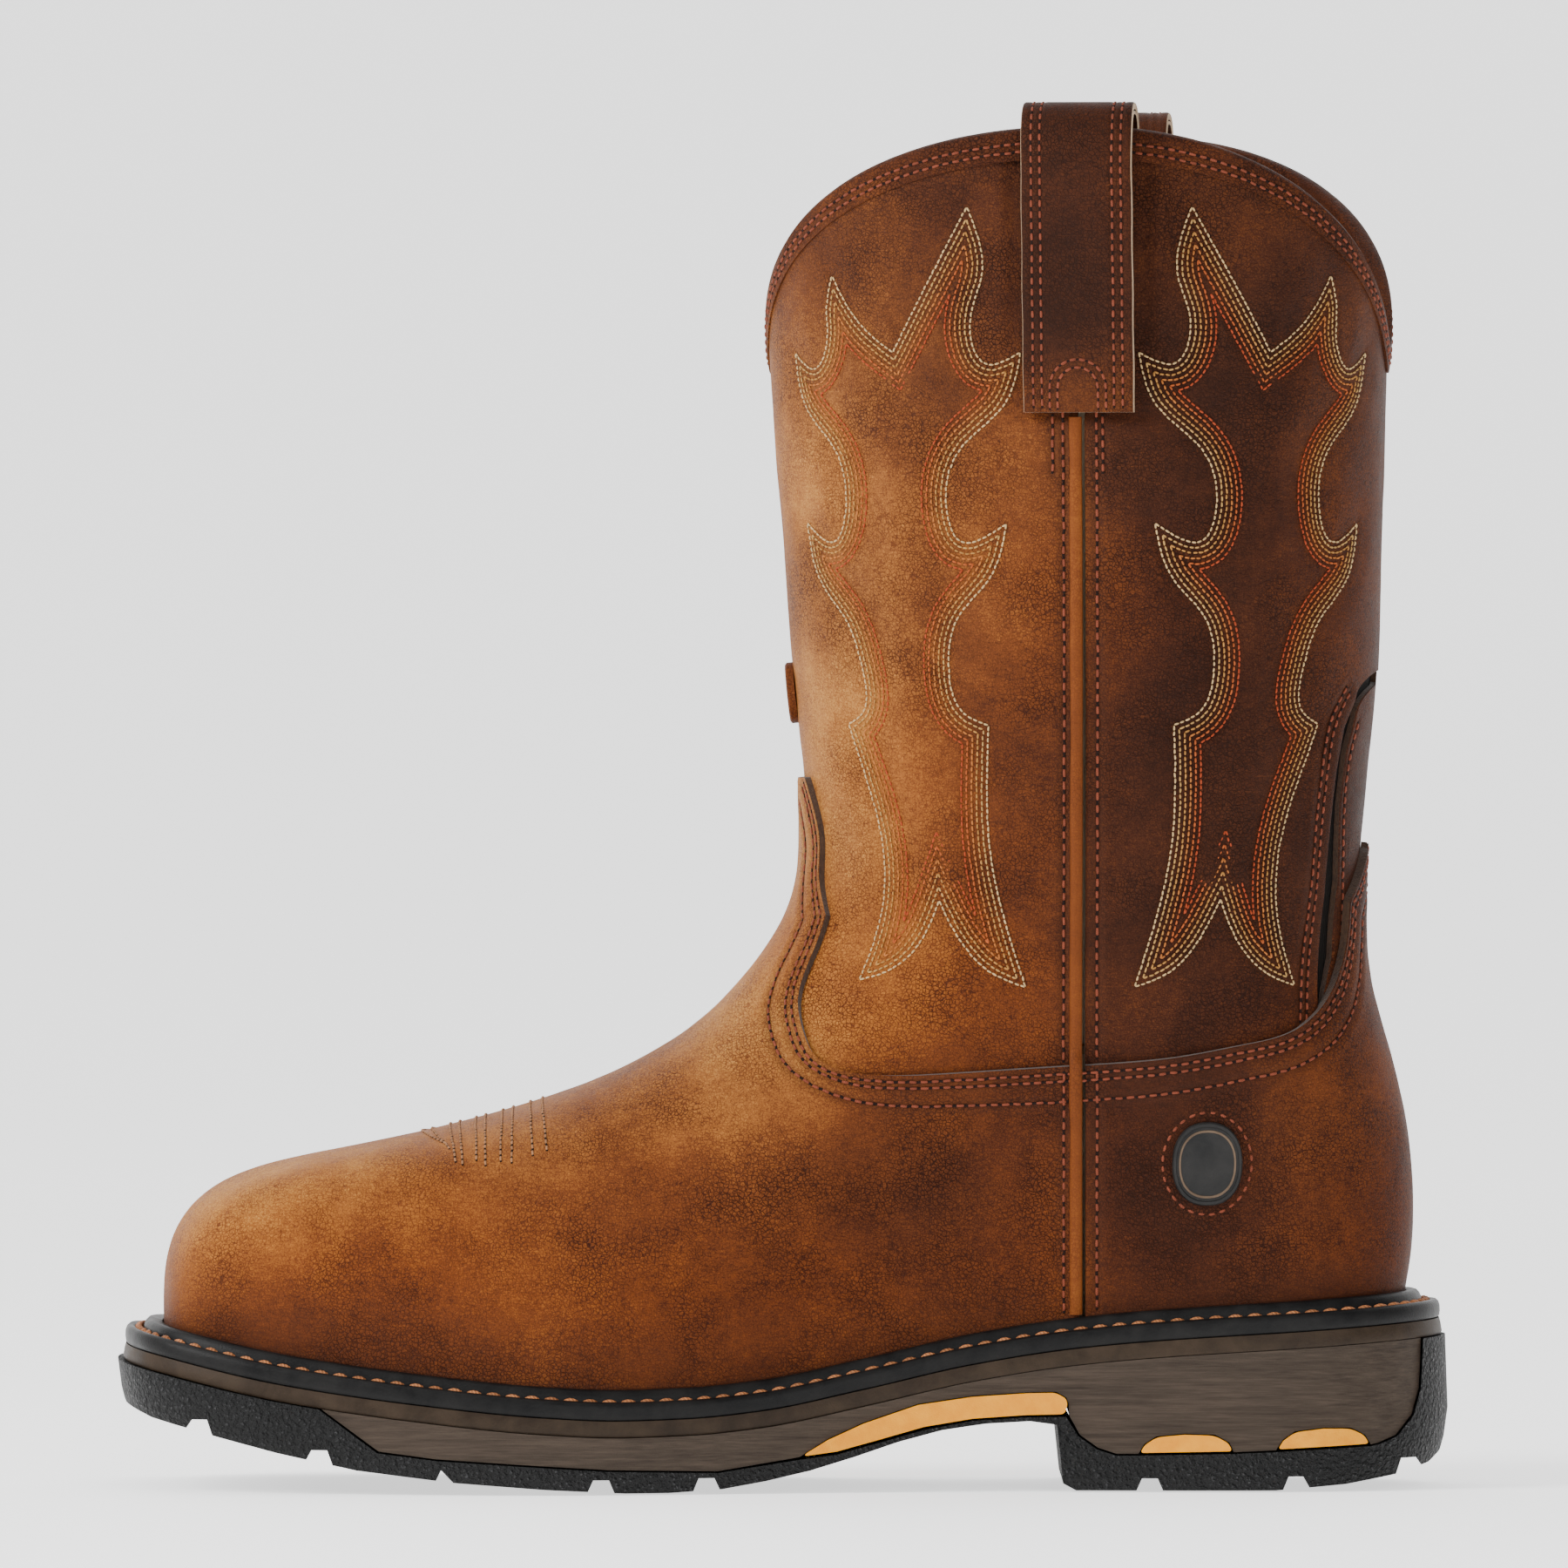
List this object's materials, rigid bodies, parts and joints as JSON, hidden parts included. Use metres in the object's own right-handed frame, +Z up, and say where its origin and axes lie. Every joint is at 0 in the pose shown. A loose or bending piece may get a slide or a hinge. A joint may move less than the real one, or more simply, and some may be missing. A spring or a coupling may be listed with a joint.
{
  "type": "steel toe work boot",
  "caption": "Pull-on leather work boot with a square steel toe, a tall shaft with side pull straps, a stitched welt and a lugged rubber sole with a block heel.",
  "frame": {"origin": "centre of the footprint, on the ground plane under the sole", "axes": "+Z up; -X towards the toe and +X towards the heel; -Y towards the outer (lateral) side of this left boot and +Y towards the inner (medial) side"},
  "size_m": [0.3053, 0.1254, 0.3158],
  "materials": {
    "outsole_rubber": "matt pebbled",
    "midsole_rubber": "matt, faintly streaked",
    "amber_insert": "matt",
    "welt_rubber": "satin",
    "thread": "waxed thread",
    "cork_filler": "matt",
    "steel": "plain",
    "insole_board": "matt fibreboard",
    "footbed_foam": "open foam",
    "footbed_cloth": "napped cloth",
    "edge_strip_foam": "foam",
    "vamp_leather": "oiled, scuffed",
    "shaft_leather": "oiled, distressed",
    "collar_leather": "oiled",
    "piping_leather": "smooth",
    "strap_leather": "oiled, rough edges",
    "lining": "soft lining cloth",
    "stiffener": "matt",
    "elastic": "ribbed elastic",
    "badge_rubber": "matt"
  },
  "bodies": {
    "boot": {"outsole": "outsole_rubber", "midsole_sidewall": "midsole_rubber", "midsole_band": "midsole_rubber", "arch_insert": "amber_insert", "heel_insert_front": "amber_insert", "heel_insert_rear": "amber_insert", "welt": "welt_rubber", "welt_stitching": "thread", "bottom_filler": "cork_filler", "steel_shank": "steel", "insole_board": "insole_board", "steel_toe_cap": "steel", "toe_cap_edge_strip": "edge_strip_foam", "vamp": "vamp_leather", "vamp_lining": "lining", "heel_cover": "vamp_leather", "heel_stiffener": "stiffener", "heel_lining": "lining", "shaft_front": "shaft_leather", "shaft_back": "shaft_leather", "shaft_lining_front": "lining", "shaft_lining_back": "lining", "backstay": "shaft_leather", "elastic_gore": "elastic", "side_piping_lateral": "piping_leather", "side_piping_medial": "piping_leather", "collar_binding": "collar_leather", "heel_badge": "badge_rubber", "front_patch": "strap_leather"},
    "strap_lateral": {"pull_strap_lateral": "strap_leather", "pull_strap_backing_lateral": "strap_leather"},
    "strap_medial": {"pull_strap_medial": "strap_leather", "pull_strap_backing_medial": "strap_leather"},
    "footbed": {"footbed_foam": "footbed_foam", "footbed_cover": "footbed_cloth"}
  },
  "joints": [
    {"name": "strap_lateral_lean", "type": "hinge", "parent": "boot", "child": "strap_lateral", "pos_m": [0.06682, -0.05478, 0.246], "axis": [0.9932, -0.1167, 0], "range_deg": [-2, 3.5]},
    {"name": "strap_medial_lean", "type": "hinge", "parent": "boot", "child": "strap_medial", "pos_m": [0.07738, 0.05388, 0.246], "axis": [0.9932, -0.1167, 0], "range_deg": [-3.5, 2]},
    {"name": "footbed_lift", "type": "hinge", "parent": "boot", "child": "footbed", "pos_m": [-0.132, 0, 0.034], "axis": [0, -1, 0], "range_deg": [0, 8]}
  ]
}
